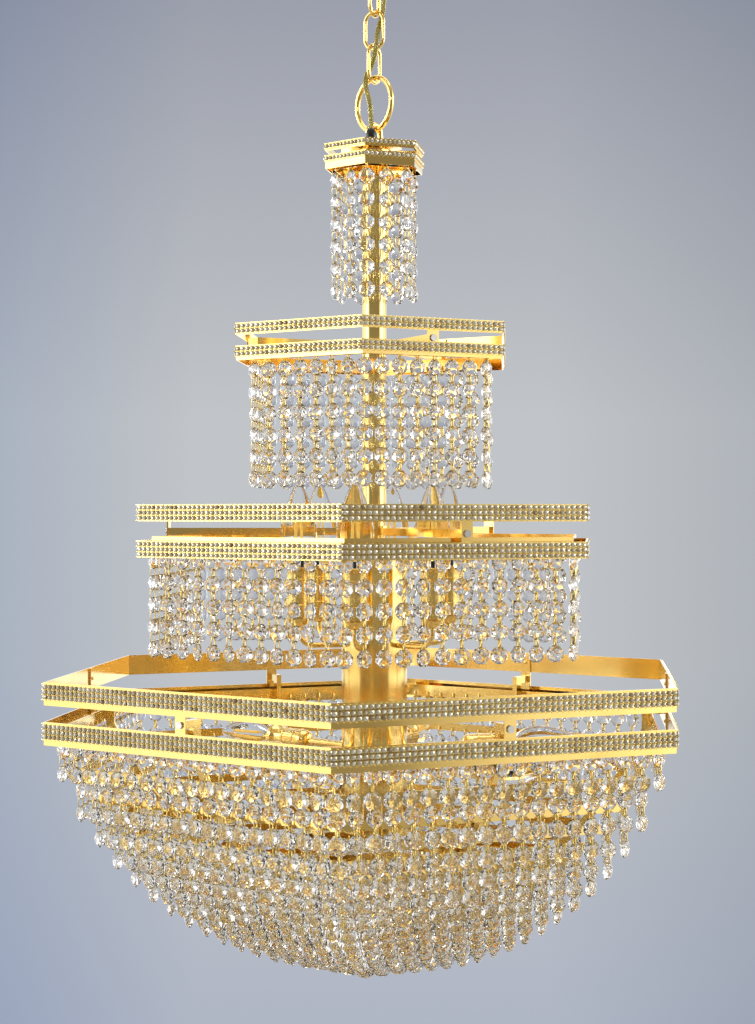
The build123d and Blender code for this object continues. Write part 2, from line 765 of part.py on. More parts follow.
with BuildPart() as lower_cups:
    for plane in lower_planes:
        with BuildSketch(plane):
            cup_outline(lower_cup_length, lower_cup_rim_radius, lower_cup_rim_length)
        revolve(axis=light_axis(plane))
save(lower_cups, "lower_cups")

for set_name, planes, length in (("upper", upper_planes, upper_cup_length),
                                 ("lower", lower_planes, lower_cup_length)):
    with BuildPart() as sockets:
        for plane in planes:
            with BuildSketch(plane):
                socket_outline(length)
            revolve(axis=light_axis(plane))
    save(sockets, f"{set_name}_sockets")

    for number, plane in enumerate(planes, 1):
        with BuildPart() as bulb:
            with BuildSketch(plane):
                bulb_outline(length)
            revolve(axis=light_axis(plane))
        save(bulb, f"{set_name}_bulb_{number}")
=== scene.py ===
# %% [markdown]
# # A crystal chandelier
# Four hexagonal tiers hang on one brass column over a deep bowl of crystal strands. The construction
# (plates, bands, rails, spokes, ribs, tubes, chain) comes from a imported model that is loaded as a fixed
# frame. This lesson adds what makes it glitter: cut beads on wire links, small stones in gilt settings,
# candle bulbs, a clear cord, and finishes for every metal. All lengths are metres, +Z is up, the origin
# is on the ceiling and the front of the light looks towards -Y.

# %% Load the frame
import math
import random
from collections import namedtuple

import bpy
import numpy as np
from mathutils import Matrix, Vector


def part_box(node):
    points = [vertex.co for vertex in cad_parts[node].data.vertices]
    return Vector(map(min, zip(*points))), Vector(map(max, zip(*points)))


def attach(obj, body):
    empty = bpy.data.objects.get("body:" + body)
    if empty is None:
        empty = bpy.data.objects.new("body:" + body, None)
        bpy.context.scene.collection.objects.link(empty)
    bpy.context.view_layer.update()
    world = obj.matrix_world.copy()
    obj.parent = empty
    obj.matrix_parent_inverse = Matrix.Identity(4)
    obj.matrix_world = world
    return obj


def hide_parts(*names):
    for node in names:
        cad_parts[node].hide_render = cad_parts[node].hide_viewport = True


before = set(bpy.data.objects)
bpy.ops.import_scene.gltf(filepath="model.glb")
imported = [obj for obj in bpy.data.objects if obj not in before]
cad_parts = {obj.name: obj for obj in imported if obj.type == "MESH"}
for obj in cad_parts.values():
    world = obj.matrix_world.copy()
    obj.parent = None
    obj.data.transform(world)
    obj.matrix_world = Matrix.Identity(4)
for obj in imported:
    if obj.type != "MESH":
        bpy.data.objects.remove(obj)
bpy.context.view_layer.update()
MM = 0.001
rng = random.Random(7)

# %% [markdown]
# ## The camera
# The camera comes first, because everything else is judged through it. It looks level along +Y. Its
# distance follows from the size of a bead in the picture: one pixel at the column is 0.95 mm. The
# column stands a few pixels to the left of the picture's middle, so the camera moves that much to the
# right, and no lens shift is needed.

# %% Camera
PICTURE_WIDTH, PICTURE_HEIGHT = 755, 1024
FOCAL_PIXELS = 1914.0
MM_PER_PIXEL = 0.95
AXIS_PIXEL = 374.3
EYE_LEVEL = -559.6 * MM
camera_data = bpy.data.cameras.new("camera")
camera = bpy.data.objects.new("camera", camera_data)
bpy.context.scene.collection.objects.link(camera)
camera_data.sensor_width = 36.0
camera_data.lens = FOCAL_PIXELS / PICTURE_HEIGHT * camera_data.sensor_width
camera.location = ((PICTURE_WIDTH / 2 - AXIS_PIXEL) * MM_PER_PIXEL * MM,
                   -FOCAL_PIXELS * MM_PER_PIXEL * MM, EYE_LEVEL)
camera.rotation_euler = (math.radians(90), 0, 0)
bpy.context.scene.camera = camera
print("lens:", round(camera_data.lens, 2), "distance:", round(-camera.location.y, 3))

# %% [markdown]
# ## The sizes that the pieces share
# Each tier is a regular hexagon, turned a few degrees. The values are those of the construction: the
# corner radius of its bands and of its strands, how many strands a side has, how its beads are spaced,
# the rows of stones on a band with the stones in a row, and the bearings of its straps. Heights are read
# from the frame, so a bead always hangs from the rail that is there.

# %% Shared sizes
SIDES = 6
SIDE_TURN = 360 / SIDES
HALF_CORNER = math.pi / SIDES
Tier = namedtuple("Tier", "name corner turn rows strand_corner strands beads pitch stones margin straps")
TIERS = (
    Tier("crown", 49.0, -10.0, 1, 39.9, 2, 6, 21.0, 11, 0.3, (-30, 90, 210)),
    Tier("tier_2", 141.0, -4.0, 2, 123.5, 7, 6, 20.0, 26, 0.3, (30, 150, 270)),
    Tier("tier_3", 232.0, -6.5, 3, 218.5, 12, 5, 20.0, 43, 0.3, (30, 150, 270)),
    Tier("tier_4", 319.0, -6.0, 3, 302.4, 18, 2, 20.0, 60, 1.7, (30, 90, 150, 210, 270, 330)),
)
BEAD_RADIUS = 7.7
RAIL_HEIGHT = 12.0
HOOK_TO_BEAD = 22.0
STRAND_SPACING = 16.8
RING_COUNT = 18
BOWL_RADIUS = 338.0
BOWL_BEADS, BOWL_PITCH = 2, 20.0
HOOP_HEIGHT = 8.0
HOOP_TO_BEAD = 20.3
BOWL_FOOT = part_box("bowl_strands")[0].z / MM
print("bowl's foot:", round(BOWL_FOOT, 1), "mm")

# %% [markdown]
# ## Helpers for places and meshes
# Thousands of beads and stones repeat a few shapes. Making each one with an operator would take minutes,
# and instances would not give real meshes. So a shape is written once as points and faces, and copies
# of it are placed with matrices in one go, then joined into a single mesh.

# %% Helpers for bearings and repeated shapes
def bearing(angle, radius, height=0.0):
    """A point at a bearing from the front, counted in degrees towards +X, in millimetres."""
    turn = math.radians(angle)
    return np.array([radius * math.sin(turn), -radius * math.cos(turn), height])


def outward_matrix(facing, yaw=0.0, lean=0.0):
    """Axes of a piece that faces outwards: its x runs along the side, its y outwards, its z up."""
    out, along = bearing(facing + yaw, 1), bearing(facing + yaw + 90, 1)
    tilt = math.radians(lean)
    up = np.array([0, 0, 1]) * math.cos(tilt) + along * math.sin(tilt)
    side = along * math.cos(tilt) - np.array([0, 0, 1]) * math.sin(tilt)
    return np.array([side, out, up]).T


def repeat(shape, places):
    """Copies of one shape at many places, each place a matrix and a point, as points and faces.

    Where a matrix mirrors the shape, its faces are wound the other way, so that none is inside out.
    """
    points, faces = shape
    points = np.array(points, float)
    count = len(points)
    all_points = [points @ matrix.T + place for matrix, place in places]
    all_faces = []
    for n, (matrix, _) in enumerate(places):
        order = -1 if np.linalg.det(matrix) < 0 else 1
        all_faces += [[corner + n * count for corner in face[::order]] for face in faces]
    return np.concatenate(all_points), all_faces


def piece(name, shape, material, body, smooth=False):
    """A mesh from points in millimetres and faces, with its finish, riding on a body."""
    points, faces = shape
    mesh = bpy.data.meshes.new(name)
    mesh.from_pydata((np.array(points) * MM).tolist(), [], faces)
    mesh.materials.append(material)
    mesh.polygons.foreach_set("use_smooth", [smooth] * len(mesh.polygons))
    mesh.update()
    obj = bpy.data.objects.new(name, mesh)
    bpy.context.scene.collection.objects.link(obj)
    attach(obj, body)
    print(name, len(mesh.polygons), "faces")
    return obj


# %% [markdown]
# ## Round pieces
# Cups, sockets and bulbs are turned on a lathe: a half outline is spun about an axis. The helper takes
# the outline as pairs of radius and height, so an outline can be read like a turner's drawing.

# %% Lathe and wire helpers
def lathe(outline, segments=40):
    """A round shape about z from pairs of radius and height, closed where the radius is zero."""
    points, faces, rows = [], [], []
    for radius, height in outline:
        if radius < 1e-6:
            rows.append([len(points)])
            points.append((0, 0, height))
            continue
        rows.append(range(len(points), len(points) + segments))
        for n in range(segments):
            turn = 2 * math.pi * n / segments
            points.append((radius * math.cos(turn), radius * math.sin(turn), height))
    for low, high in zip(rows, rows[1:]):
        for n in range(segments):
            after = (n + 1) % segments
            if len(low) == 1:
                faces.append([low[0], high[after], high[n]])
            elif len(high) == 1:
                faces.append([low[n], low[after], high[0]])
            else:
                faces.append([low[n], low[after], high[after], high[n]])
    return points, faces


def wire(path, radius, sides=8, closed=False):
    """A round wire along a path of points: each ring is turned square to the path."""
    path = [Vector(point) for point in path]
    count = len(path)
    points, faces = [], []
    normal = None
    for n, point in enumerate(path):
        after = path[(n + 1) % count] if closed or n + 1 < count else point
        before = path[n - 1] if closed or n > 0 else point
        ahead = (after - before).normalized()
        if normal is None:
            normal = ahead.orthogonal()
        normal = (normal - ahead * normal.dot(ahead)).normalized()
        across = ahead.cross(normal)
        for side in range(sides):
            turn = 2 * math.pi * (side + 0.5) / sides
            points.append(point + (normal * math.cos(turn) + across * math.sin(turn)) * radius)
    for n in range(count if closed else count - 1):
        here, there = n * sides, (n + 1) % count * sides
        for side in range(sides):
            after = (side + 1) % sides
            faces.append([here + side, here + after, there + after, there + side])
    if not closed:
        faces.append(list(range(sides - 1, -1, -1)))
        faces.append([(count - 1) * sides + side for side in range(sides)])
    return [tuple(point) for point in points], faces


# %% [markdown]
# ## Finishes
# The brass is polished but old: pale where it is rubbed, orange where it is darker, with soft clouds of
# tarnish. All the metals share that ageing, so it is one shader group that gives a colour, a roughness
# and a fine height. The group holds no shader: each metal keeps its own Principled BSDF and only sets
# the group's colours and scale.

# %% A shared group: aged metal
def new_group(name, inputs, outputs):
    """An empty shader group with named sockets, and its two end nodes."""
    group = bpy.data.node_groups.new(name, "ShaderNodeTree")
    for socket, kind, value in inputs:
        group.interface.new_socket(socket, in_out="INPUT", socket_type=kind).default_value = value
    for socket, kind in outputs:
        group.interface.new_socket(socket, in_out="OUTPUT", socket_type=kind)
    return group, group.nodes.new("NodeGroupInput"), group.nodes.new("NodeGroupOutput")


def feed(tree, value, socket):
    """Give a socket what it needs: another socket to follow, or a plain value."""
    if isinstance(value, bpy.types.NodeSocket):
        tree.links.new(value, socket)
    else:
        socket.default_value = value


def noise(tree, coordinates, scale, detail=3.0):
    """A noise texture on object coordinates."""
    texture = tree.nodes.new("ShaderNodeTexNoise")
    texture.inputs["Detail"].default_value = detail
    feed(tree, scale, texture.inputs["Scale"])
    tree.links.new(coordinates, texture.inputs["Vector"])
    return texture.outputs["Fac"]


def remap(tree, value, low, high, to_low, to_high):
    """A value moved from one range to another, held inside it."""
    node = tree.nodes.new("ShaderNodeMapRange")
    sockets = ("From Min", "From Max", "To Min", "To Max")
    for socket, number in zip(sockets, (low, high, to_low, to_high)):
        node.inputs[socket].default_value = number
    tree.links.new(value, node.inputs["Value"])
    return node.outputs["Result"]


def blend_colours(tree, factor, first, second, way="MIX"):
    """One colour turning into another, or multiplied by it, by a factor. Each is a value or a socket."""
    node = tree.nodes.new("ShaderNodeMix")
    node.data_type, node.blend_type = "RGBA", way
    feed(tree, factor, node.inputs["Factor"])
    feed(tree, first, node.inputs[6])
    feed(tree, second, node.inputs[7])
    return node.outputs[2]


def colour_ramp(tree, factor, stops):
    """A colour that runs through stops, each a place from 0 to 1 and a colour."""
    ramp = tree.nodes.new("ShaderNodeValToRGB")
    ramp.color_ramp.elements[0].color = (*stops[0][1], 1)
    ramp.color_ramp.elements[1].color = (*stops[-1][1], 1)
    for spot, colour in stops[1:-1]:
        ramp.color_ramp.elements.new(spot).color = (*colour, 1)
    tree.links.new(factor, ramp.inputs["Fac"])
    return ramp.outputs["Color"]


def calculate(tree, operation, first, second):
    """One sum on two values, each a socket or a number."""
    node = tree.nodes.new("ShaderNodeMath")
    node.operation = operation
    feed(tree, first, node.inputs[0])
    feed(tree, second, node.inputs[1])
    return node.outputs["Value"]


TARNISH_EDGES, TARNISH_SHARE = (0.48, 0.80), 0.5
POLISH_EDGES, ROUGHNESS = (0.35, 0.75), (0.08, 0.20)
SPECK_SCALE = 900.0
aged_metal, group_in, group_out = new_group(
    "aged_metal",
    [("Bright", "NodeSocketColor", (0.9, 0.65, 0.3, 1)),
     ("Dark", "NodeSocketColor", (0.4, 0.2, 0.05, 1)),
     ("Cloud Scale", "NodeSocketFloat", 18.0)],
    [("Color", "NodeSocketColor"), ("Roughness", "NodeSocketFloat"), ("Height", "NodeSocketFloat")])
place = aged_metal.nodes.new("ShaderNodeTexCoord").outputs["Object"]
clouds = noise(aged_metal, place, group_in.outputs["Cloud Scale"], 5.0)
specks = noise(aged_metal, place, SPECK_SCALE, 2.0)
mask = remap(aged_metal, clouds, *TARNISH_EDGES, 0.0, TARNISH_SHARE)
aged_metal.links.new(blend_colours(aged_metal, mask, group_in.outputs["Bright"],
                                   group_in.outputs["Dark"]), group_out.inputs["Color"])
aged_metal.links.new(remap(aged_metal, clouds, *POLISH_EDGES, *ROUGHNESS), group_out.inputs["Roughness"])
aged_metal.links.new(specks, group_out.inputs["Height"])


# %% Metals
def new_material(name):
    """A material with its Principled BSDF."""
    material = bpy.data.materials.new(name)
    material.use_nodes = True
    return material, material.node_tree, material.node_tree.nodes["Principled BSDF"]


def metal(name, bright, dark, cloud_scale=18.0, bump=0.02):
    """An aged metal with its own colours."""
    material, tree, shader = new_material(name)
    ageing = tree.nodes.new("ShaderNodeGroup")
    ageing.node_tree = aged_metal
    ageing.inputs["Bright"].default_value = (*bright, 1)
    ageing.inputs["Dark"].default_value = (*dark, 1)
    ageing.inputs["Cloud Scale"].default_value = cloud_scale
    shader.inputs["Metallic"].default_value = 1.0
    tree.links.new(ageing.outputs["Color"], shader.inputs["Base Color"])
    tree.links.new(ageing.outputs["Roughness"], shader.inputs["Roughness"])
    relief = tree.nodes.new("ShaderNodeBump")
    relief.inputs["Strength"].default_value = bump
    relief.inputs["Distance"].default_value = 0.0005
    tree.links.new(ageing.outputs["Height"], relief.inputs["Height"])
    tree.links.new(relief.outputs["Normal"], shader.inputs["Normal"])
    return material


brass = metal("polished_brass", (0.95, 0.68, 0.23), (0.82, 0.53, 0.11), 12.0, 0.01)
column_brass = metal("column_brass", (0.95, 0.71, 0.26), (0.82, 0.56, 0.13), 6.0, 0.01)
gilt = metal("gilt_wire", (0.94, 0.72, 0.26), (0.80, 0.55, 0.14), 60.0)
steel = metal("dull_steel", (0.62, 0.60, 0.57), (0.35, 0.32, 0.30), 60.0)


# %% [markdown]
# ## Glass
# Cut crystal is clear, so almost all of its look is light bent by the facets. It needs a true index of
# refraction, no roughness worth seeing, and something bright and something dark around it to bend. The
# small stones are paste: glassy on top, but foiled behind, so they are glossy and not see-through. Each
# stone has a tone of its own, kept on its points, that moves it between grey, beige and brown.

# %% Glass finishes
DUST_SCALE, DUST_ROUGHNESS = 120.0, 0.06


def glass(name, colour, roughness=0.0, refraction=1.52):
    """A clear glass."""
    material, tree, shader = new_material(name)
    shader.inputs["Base Color"].default_value = (*colour, 1)
    shader.inputs["Transmission Weight"].default_value = 1.0
    shader.inputs["IOR"].default_value = refraction
    dust = noise(tree, tree.nodes.new("ShaderNodeTexCoord").outputs["Object"], DUST_SCALE)
    dull = remap(tree, dust, 0.4, 0.8, roughness, roughness + DUST_ROUGHNESS)
    tree.links.new(dull, shader.inputs["Roughness"])
    return material


crystal = glass("cut_crystal", (0.985, 0.98, 0.965))
bulb_glass = glass("bulb_glass", (0.99, 0.99, 0.98), 0.0, 1.2)

stone, tree, shader = new_material("paste_stone")
tone = tree.nodes.new("ShaderNodeAttribute")
tone.attribute_name = "tone"
STONE_TONES = ((0.0, (0.24, 0.16, 0.08)), (0.25, (0.48, 0.39, 0.25)), (0.55, (0.62, 0.56, 0.40)),
               (1.0, (0.82, 0.79, 0.66)))
tree.links.new(colour_ramp(tree, tone.outputs["Fac"], STONE_TONES), shader.inputs["Base Color"])
shader.inputs["Metallic"].default_value = 0.55
shader.inputs["Roughness"].default_value = 0.09
shader.inputs["Coat Weight"].default_value = 1.0


# %% Black sockets, cord, filament and terminal block
def plain(name, colour, roughness, grain=0.05):
    """A moulded plastic or a paint, with a faint change of gloss over it."""
    material, tree, shader = new_material(name)
    shader.inputs["Base Color"].default_value = (*colour, 1)
    marks = noise(tree, tree.nodes.new("ShaderNodeTexCoord").outputs["Object"], 200.0)
    dull = remap(tree, marks, 0.3, 0.7, roughness, roughness + grain)
    tree.links.new(dull, shader.inputs["Roughness"])
    return material


black = plain("black_bakelite", (0.012, 0.011, 0.011), 0.16)
terminal = plain("terminal_block", (0.80, 0.78, 0.72), 0.45)
filament = plain("filament_coating", (0.90, 0.62, 0.12), 0.45)
shader = filament.node_tree.nodes["Principled BSDF"]
shader.inputs["Emission Color"].default_value = (1.0, 0.62, 0.15, 1)
shader.inputs["Emission Strength"].default_value = 0.35
sheath = glass("cord_sheath", (0.62, 0.58, 0.20), 0.2, 1.4)
sheath.node_tree.nodes["Principled BSDF"].inputs["Transmission Weight"].default_value = 0.7
copper = metal("cord_copper", (0.62, 0.52, 0.20), (0.50, 0.38, 0.12), 200.0)

# %% [markdown]
# ## Finishes on the construction
# The plates, bands, rails, tubes and arms already have the right shape, so they only take a finish.

# %% Dress the frame
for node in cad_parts.values():
    node.data.materials.clear()
    node.data.materials.append(brass)
for name in ("upper_column", "lower_column", "column_cap", "column_base", "centre_rod"):
    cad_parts[name].data.materials[0] = column_brass
for name in ("upper_sockets", "lower_sockets", "cord_gland"):
    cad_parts[name].data.materials[0] = black
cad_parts["terminal_block"].data.materials[0] = terminal
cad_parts["strap_screws"].data.materials[0] = steel


# %% [markdown]
# ## Cut beads
# A chandelier bead of this kind is an octagon about half as thick as it is wide. Its front has a ring of
# kite-shaped facets that climb to a small star, and the back is the same. Flat shading matters here:
# each facet has to bend the light its own way. The beads hang on little wire links that pass through
# holes from front to back, so from the front a link is seen edge-on as a thin gold line.

# %% The shape of a bead and of its link
GIRDLE, STAR_HEIGHT, PEAK_HEIGHT = 0.8, 2.5, 4.2
GIRDLE_SHARE, STAR_SHARE = 1.04, 0.68
FACETS = 8
FACET_TURN = 360 / FACETS


def facet_ring(half_width, half_height, depth, first_turn=FACET_TURN / 2):
    """The corners of an octagon that faces along y."""
    turns = [math.radians(first_turn + FACET_TURN * n) for n in range(FACETS)]
    return [(half_width * math.cos(turn), depth, half_height * math.sin(turn)) for turn in turns]


def cut_bead():
    """An octagonal bead that faces along y."""
    points, faces = [], []
    rim, star = BEAD_RADIUS * GIRDLE_SHARE, BEAD_RADIUS * STAR_SHARE
    for side in (1, -1):
        outer = len(points)
        inner, peak = outer + FACETS, outer + 2 * FACETS
        points += facet_ring(rim, rim, side * GIRDLE)
        points += facet_ring(star, star, side * STAR_HEIGHT, FACET_TURN)
        points.append((0, side * PEAK_HEIGHT, 0))
        for n in range(FACETS):
            after = (n + 1) % FACETS
            for face in ([outer + n, outer + after, inner + n],
                         [inner + n, outer + after, inner + after],
                         [inner + n, inner + after, peak]):
                faces.append(face if side < 0 else face[::-1])
    back = len(points) // 2
    for n in range(FACETS):
        after = (n + 1) % FACETS
        faces.append([n, after, back + after, back + n])
    return points, faces


def bead_link(half_length=4.9, half_depth=2.2, radius=0.42, flatness=2.1, corners=10):
    """An oval of flattened wire, standing in the plane of y and z."""
    path = []
    for n in range(corners):
        turn = 2 * math.pi * n / corners
        lift = half_length - half_depth
        height = math.copysign(lift, math.sin(turn)) if abs(math.sin(turn)) > 1e-6 else 0.0
        path.append((0, half_depth * math.cos(turn), height + half_depth * math.sin(turn)))
    points, faces = wire(path, radius, 4, closed=True)
    return [(x * flatness, y, z) for x, y, z in points], faces


# %% [markdown]
# ## Strands
# One strand hangs at each corner and the rest are spaced evenly along the sides. A real strand never
# hangs quite square: each bead is given a small seeded turn and lean, so that neighbours catch the light
# differently, and the result is the same on every run.

# %% Hang the strands
TWIST_SPREAD, YAW_SPREAD, LEAN_SPREAD, SWAY = 7.0, 7.0, 1.6, 0.35
LINK_SHARE = 0.5


def strand_spots(corner, count, turn):
    """Places and facings of the strands on a hexagonal ring."""
    spots = []
    for side in range(SIDES):
        start = bearing(turn + side * SIDE_TURN, corner)
        end = bearing(turn + side * SIDE_TURN + SIDE_TURN, corner)
        for step in range(count):
            facing = turn + side * SIDE_TURN + (SIDE_TURN / 2 if step else 0)
            spots.append((start + (end - start) * step / count, facing))
    return spots


def hang(spots, first_bead, beads, pitch, link_drop):
    """Places of the beads and links of strands whose first beads are at one height.

    A link turns a share as far as its bead, and the first one stands link_drop above the first bead.
    """
    bead_places, link_places = [], []
    for spot, facing in spots:
        twist = rng.gauss(0, TWIST_SPREAD)
        for n in range(beads):
            sway = bearing(facing + 90, rng.uniform(-SWAY, SWAY))
            height = np.array([0, 0, first_bead - n * pitch + rng.uniform(-SWAY, SWAY)])
            yaw, lean = twist + rng.gauss(0, YAW_SPREAD), rng.gauss(0, LEAN_SPREAD)
            matrix = outward_matrix(facing, yaw, lean)
            bead_places.append((matrix, spot + sway + height))
            link_height = height + np.array([0, 0, link_drop if n == 0 else pitch / 2])
            matrix = outward_matrix(facing, yaw * LINK_SHARE, lean * LINK_SHARE)
            link_places.append((matrix, spot + link_height))
    return bead_places, link_places


for tier in TIERS:
    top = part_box(f"{tier.name}_strands")[1].z / MM + RAIL_HEIGHT
    spots = strand_spots(tier.strand_corner, tier.strands, tier.turn)
    beads, links = hang(spots, top - HOOK_TO_BEAD, tier.beads, tier.pitch, HOOK_TO_BEAD - RAIL_HEIGHT)
    shown = piece(f"{tier.name}_beads", repeat(cut_bead(), beads), crystal, "frame")
    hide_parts(f"{tier.name}_strands")
    piece(f"{tier.name}_bead_links", repeat(bead_link(), links), gilt, "frame", smooth=True)


# %% [markdown]
# ## The bowl
# Under the lowest tier, seventeen hexagonal hoops step inwards, each with a strand fewer on every side.
# The lower ends of the strands lie on a sphere, so the height of a ring follows from its corner radius.

# %% Fill the bowl
HOOP_LINK_SINK, MIDDLE_LINK_RISE = 1.5, 3
hoop_link = HOOP_TO_BEAD - HOOP_HEIGHT - HOOP_LINK_SINK
bead_places, link_places = [], []
for ring in range(1, RING_COUNT):
    corner = (RING_COUNT - ring) * STRAND_SPACING
    end = BOWL_FOOT + BOWL_RADIUS - math.sqrt(BOWL_RADIUS ** 2 - corner ** 2)
    spots = strand_spots(corner, RING_COUNT - ring, TIERS[-1].turn)
    beads, links = hang(spots, end + BEAD_RADIUS + BOWL_PITCH, BOWL_BEADS, BOWL_PITCH, hoop_link)
    bead_places += beads
    link_places += links
beads, links = hang([(bearing(0, 0), TIERS[-1].turn)], BOWL_FOOT + BEAD_RADIUS + BOWL_PITCH,
                    BOWL_BEADS, BOWL_PITCH, BEAD_RADIUS + MIDDLE_LINK_RISE)
bowl_beads = piece("bowl_beads", repeat(cut_bead(), bead_places + beads), crystal, "frame")
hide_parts("bowl_strands")
piece("bowl_bead_links", repeat(bead_link(), link_places + links), gilt, "frame", smooth=True)

# %% [markdown]
# ## Stones on the bands
# Each band carries rows of small paste stones. A stone is round from the front, with eight facets that
# climb to a flat top, and where two sides meet there is a narrow one. The setting is gilt: a thin tray
# behind a row, a ledge above and below it, and small beads of metal between neighbours, which are what
# glints between the rows. Each stone is tilted a little and has its own tone.

# %% The shape of a stone and of its setting
STONE_DEPTH, GIRDLE_DEPTH, TRAY_DEPTH = 2.1, 1.2, 0.4
ROW_PITCH, ROW_HEIGHT = 4.7, 4.2
STONE_GAP, TABLE_SHARE = 0.6, 0.35
CORNER_STONE, CORNER_INSET = 0.5, 0.9
LEDGE, LEDGE_DEPTH, PRONG = 0.6, 1.4, 0.75
STONE_YAW, STONE_LEAN = 4.0, 2.0
TONE_MEAN, TONE_SPREAD = 0.6, 0.2


def cut_stone(width, height):
    """A round paste stone that faces along y, on its tray: eight facets round a flat top."""
    points, faces = [], []
    for share, depth in ((1.0, TRAY_DEPTH), (1.0, GIRDLE_DEPTH), (TABLE_SHARE, STONE_DEPTH)):
        points += facet_ring(width / 2 * share, height / 2 * share, depth)
    faces.append(list(range(3 * FACETS - 1, 2 * FACETS - 1, -1)))
    for low in (0, FACETS):
        for n in range(FACETS):
            after = (n + 1) % FACETS
            faces.append([low + n, low + FACETS + n, low + FACETS + after, low + after])
    return points, faces


def prong(size=PRONG):
    """A bead of metal: an octahedron."""
    points = [(size, 0, 0), (-size, 0, 0), (0, size, 0), (0, -size, 0), (0, 0, size), (0, 0, -size)]
    faces = [[0, 2, 4], [2, 1, 4], [1, 3, 4], [3, 0, 4], [2, 0, 5], [1, 2, 5], [3, 1, 5], [0, 3, 5]]
    return points, faces


def block(width, depth, height):
    """A tray or ledge of the setting, with its back at zero."""
    points = [(x * width / 2, y, z * height / 2) for y in (0, depth) for x, z in
              ((-1, -1), (1, -1), (1, 1), (-1, 1))]
    faces = [[4, 5, 6, 7][::-1], [0, 1, 2, 3]]
    faces += [[n, (n + 1) % 4, 4 + (n + 1) % 4, 4 + n][::-1] for n in range(4)]
    return points, faces


# %% Set the stones
def set_rows(tier, band):
    """Places of the stones, prongs, trays and ledges of one band."""
    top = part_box(f"{tier.name}_{band}_band")[1].z / MM - tier.margin
    step = tier.corner / tier.stones
    reach = tier.corner * math.cos(HALF_CORNER)
    places = {"stones": [], "prongs": [], "trays": [], "ledges": []}
    heights = [top - row * ROW_PITCH - ROW_HEIGHT / 2 for row in range(tier.rows)]
    for side in range(SIDES):
        corner = tier.turn + side * SIDE_TURN
        facing = corner + SIDE_TURN / 2
        flat = outward_matrix(facing)
        for height in heights:
            places["trays"].append((flat, bearing(facing, reach, height)))
            narrow = outward_matrix(corner) @ np.diag([CORNER_STONE, 1, 1])
            places["stones"].append((narrow, bearing(corner, tier.corner - CORNER_INSET, height)))
            for lift in (-ROW_PITCH / 2, ROW_PITCH / 2):
                places["ledges"].append((flat, bearing(facing, reach, height + lift)))
            for n in range(tier.stones):
                along = (n + 0.5) * step - tier.corner / 2
                spot = bearing(facing, reach, height) + bearing(facing + 90, along)
                tilted = outward_matrix(facing, rng.gauss(0, STONE_YAW), rng.gauss(0, STONE_LEAN))
                places["stones"].append((tilted, spot))
                for lift in (-ROW_PITCH / 2, ROW_PITCH / 2):
                    between = bearing(facing + 90, step / 2) + np.array([0, 0, lift])
                    places["prongs"].append((flat, spot + between + bearing(facing, LEDGE_DEPTH)))
    return places


stone_points, stone_faces, stone_tones = [], [], []
metal_points, metal_faces = [], []


def gather(points, faces, shape):
    """Add a shape's points and faces to lists that grow."""
    base = sum(len(earlier) for earlier in points)
    points.append(np.array(shape[0]))
    faces += [[corner + base for corner in face] for face in shape[1]]


for tier in TIERS:
    step = tier.corner / tier.stones
    for band in ("upper", "lower"):
        places = set_rows(tier, band)
        shape = cut_stone(step - STONE_GAP, ROW_HEIGHT)
        gather(stone_points, stone_faces, repeat(shape, places["stones"]))
        for _ in places["stones"]:
            stone_tones += [min(1, max(0, rng.gauss(TONE_MEAN, TONE_SPREAD)))] * len(shape[0])
        for kind, part in (("prongs", prong()),
                           ("trays", block(tier.corner, TRAY_DEPTH, ROW_PITCH)),
                           ("ledges", block(tier.corner, LEDGE_DEPTH, LEDGE))):
            gather(metal_points, metal_faces, repeat(part, places[kind]))
stones = piece("band_paste_stones", (np.concatenate(stone_points), stone_faces), stone, "frame")
tones = stones.data.attributes.new("tone", "FLOAT", "POINT")
tones.data.foreach_set("value", stone_tones)
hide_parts("band_stones")
piece("stone_settings", (np.concatenate(metal_points), metal_faces), gilt, "frame")

# %% [markdown]
# ## Lamps
# Every lamp is a brass cup, a black sleeve that shows a few millimetres above it, and a clear candle
# bulb. The outline of the bulb is a smooth curve through a few radii. Inside it stand four coated
# filaments round a glass stem. The upper lamps stand up, and the lower ones point outwards.

# %% Outlines
LAMPS, LAMP_TURN = 6, -13.5
UPPER_REACH, LOWER_REACH = 74.0, 87.0
UPPER_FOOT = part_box("upper_cups")[0].z / MM
LOWER_AXIS = (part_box("lower_cups")[0].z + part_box("lower_cups")[1].z) / 2 / MM
UPPER_LENGTH, LOWER_LENGTH, STAND_OUT, SOCKET_DEPTH = 56.0, 48.0, 6.0, 21.0
BULB_OUTLINE = ((8.6, 0.3), (9.4, 2.5), (11.6, 6.0), (14.6, 12.0), (16.7, 18.0), (17.4, 24.0),
                (17.2, 30.0), (16.2, 36.5), (14.3, 43.5), (11.9, 51.0), (9.3, 58.0), (6.6, 64.5),
                (4.2, 69.5), (2.2, 72.8), (0.0, 73.9))
CAP_OUTLINE = ((0, -19.5), (3, -19.5), (6.8, -16), (6.8, 0.15), (8.2, 0.4), (0, 0.5))
STEM_OUTLINE = ((3.4, 0.5), (2.2, 4), (1.5, 9), (2.4, 11), (0, 12.5))
TURNED_RINGS = (0.22, 0.8)
SHARP_EDGE = math.radians(35)


